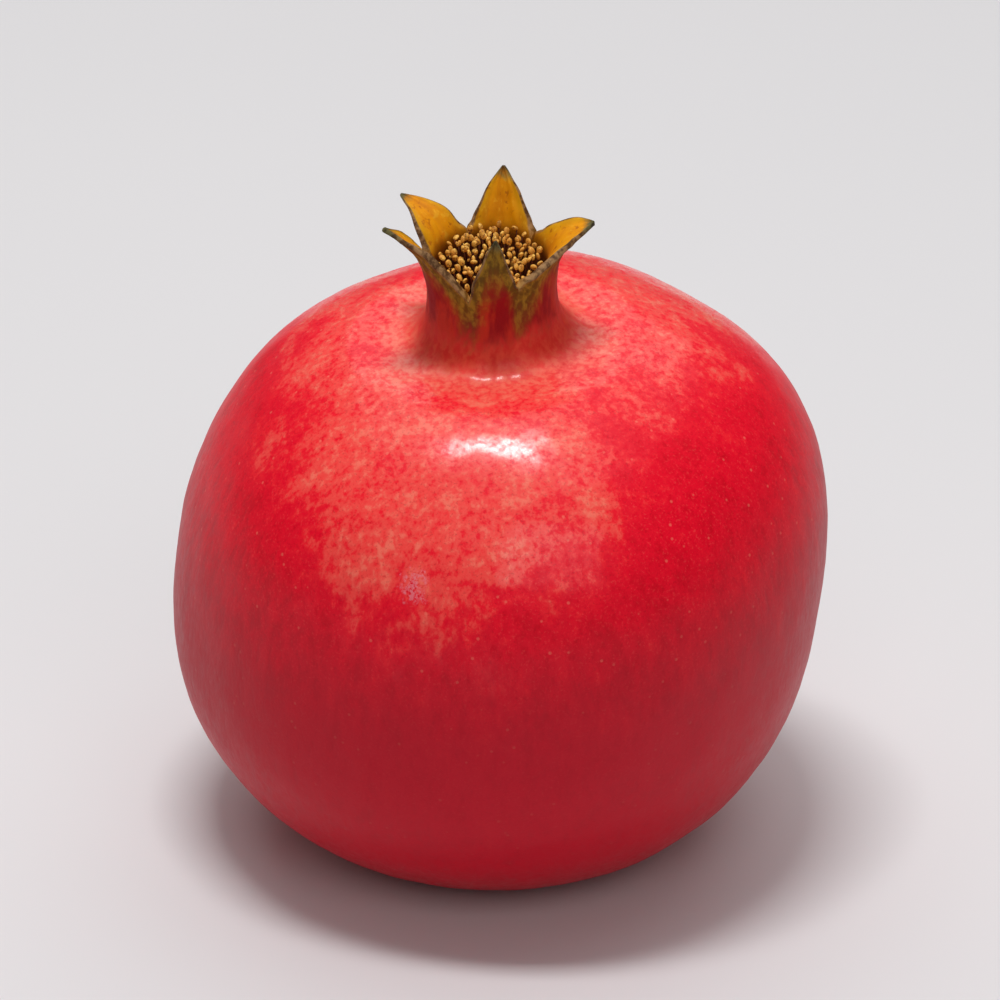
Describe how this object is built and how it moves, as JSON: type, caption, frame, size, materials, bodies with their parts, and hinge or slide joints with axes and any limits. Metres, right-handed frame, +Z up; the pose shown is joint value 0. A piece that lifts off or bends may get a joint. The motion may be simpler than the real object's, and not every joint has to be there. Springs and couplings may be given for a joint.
{
  "type": "pomegranate",
  "caption": "Whole ripe pomegranate with a leathery red rind, an open calyx crown around dried stamens, and a cut stem end in its dimple; it stands by itself.",
  "frame": {"origin": "centre of the bounding box at the level of the flat spot that the fruit stands on", "axes": "+Z up, -Y towards the side that the crown leans to, +X to the right seen from there; the crown leans 8 degrees towards -Y and 2.4 degrees towards -X"},
  "size_m": [0.1036, 0.1038, 0.1128],
  "materials": {
    "rind": "leathery waxed rind, crimson mottled with salmon, golden inside the crown",
    "stamen": "dry, matt, golden brown",
    "style": "dry, matt, dark brown",
    "stem": "weathered cut wood"
  },
  "bodies": {
    "root": {"fruit": "rind", "cut_stem": "stem", "style": "style", "stamen_01": "stamen", "stamen_02": "stamen", "stamen_03": "stamen", "stamen_04": "stamen", "stamen_05": "stamen", "stamen_06": "stamen", "stamen_07": "stamen", "stamen_08": "stamen", "stamen_09": "stamen", "stamen_10": "stamen", "stamen_11": "stamen", "stamen_12": "stamen", "stamen_13": "stamen", "stamen_14": "stamen", "stamen_15": "stamen", "stamen_16": "stamen", "stamen_17": "stamen", "stamen_18": "stamen", "stamen_19": "stamen", "stamen_20": "stamen", "stamen_21": "stamen", "stamen_22": "stamen", "stamen_23": "stamen", "stamen_24": "stamen", "stamen_25": "stamen", "stamen_26": "stamen", "stamen_27": "stamen", "stamen_28": "stamen", "stamen_29": "stamen", "stamen_30": "stamen", "stamen_31": "stamen", "stamen_32": "stamen", "stamen_33": "stamen", "stamen_34": "stamen", "stamen_35": "stamen", "stamen_36": "stamen", "stamen_37": "stamen", "stamen_38": "stamen", "stamen_39": "stamen", "stamen_40": "stamen", "stamen_41": "stamen", "stamen_42": "stamen", "stamen_43": "stamen", "stamen_44": "stamen", "stamen_45": "stamen", "stamen_46": "stamen", "stamen_47": "stamen", "stamen_48": "stamen", "stamen_49": "stamen", "stamen_50": "stamen", "stamen_51": "stamen", "stamen_52": "stamen", "stamen_53": "stamen", "stamen_54": "stamen"}
  },
  "joints": []
}
